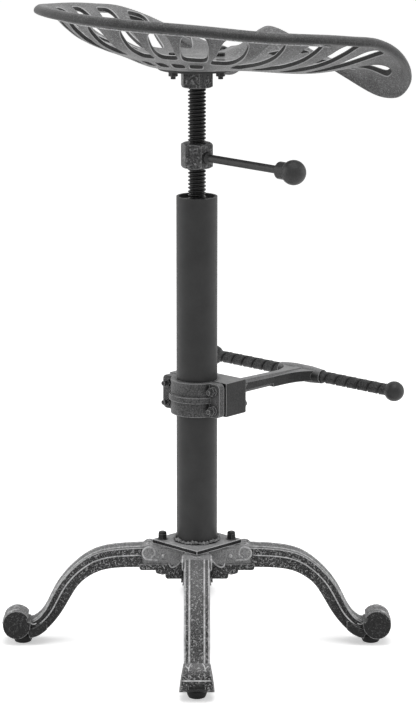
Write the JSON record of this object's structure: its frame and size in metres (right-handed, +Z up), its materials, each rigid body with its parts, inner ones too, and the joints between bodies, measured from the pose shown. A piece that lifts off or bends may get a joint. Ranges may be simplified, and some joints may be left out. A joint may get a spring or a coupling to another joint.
{
  "type": "adjustable stool",
  "caption": "Height-adjustable industrial stool with a slotted cast seat on a threaded column, a clamped footrest and a cast four-leg base.",
  "frame": {"origin": "on the column axis at floor level, in the plane of the four foot pads", "axes": "+Z up along the column, +X the way the sitter faces, +Y the sitter's left"},
  "size_m": [0.4005, 0.4528, 0.8002],
  "materials": {
    "cast_grey": "satin cast, worn edges",
    "steel_dark": "satin black",
    "bolt_black": "blackened",
    "screw_black": "blackened, oiled",
    "lever_black": "satin black",
    "tube_charcoal": "matte charcoal",
    "base_iron": "hammered, silver rubbed over black",
    "pad_rubber": "matte",
    "cast_dark": "satin cast",
    "bar_steel": "worn dark steel"
  },
  "bodies": {
    "stand": {"column_tube": "tube_charcoal", "thread_bush": "steel_dark", "base_weld": "tube_charcoal", "base_flange": "tube_charcoal", "base_casting": "base_iron", "flange_bolts": "bolt_black", "flange_nuts": "bolt_black", "foot_pads": "pad_rubber", "pad_screws": "bolt_black"},
    "screw_stop": {"stop_washer": "bolt_black"},
    "seat": {"seat_pan": "cast_grey", "seat_mount_plate": "steel_dark", "seat_bolts": "bolt_black", "seat_nuts": "bolt_black", "seat_hub_nut": "steel_dark", "height_screw": "screw_black", "stop_bolt": "bolt_black"},
    "lock": {"lock_nut": "steel_dark", "lock_lever": "lever_black"},
    "footrest": {"clamp_front": "cast_dark", "clamp_arm": "cast_dark", "clamp_bolts": "bolt_black", "clamp_nuts": "bolt_black", "footrest_bar": "bar_steel", "footrest_balls": "bar_steel"}
  },
  "joints": [
    {"name": "screw_rise", "type": "slide", "parent": "stand", "child": "screw_stop", "axis": [0, 0, 1], "range_m": [-0.055, 0.09]},
    {"name": "screw_turn", "type": "hinge", "parent": "screw_stop", "child": "seat", "pos_m": [0, 0, 0.5], "axis": [0, 0, 1], "range_deg": [-4399, 7199]},
    {"name": "lever_turn", "type": "hinge", "parent": "stand", "child": "lock", "pos_m": [0, 0, 0.6115], "axis": [0, 0, 1], "range_deg": [-170, 170]},
    {"name": "footrest_height", "type": "slide", "parent": "stand", "child": "footrest", "axis": [0, 0, 1], "range_m": [-0.13, 0.2]}
  ],
  "couplings": [
    {"joint": "screw_rise", "follows": "screw_turn", "m_per_rad": 0.0007162}
  ]
}
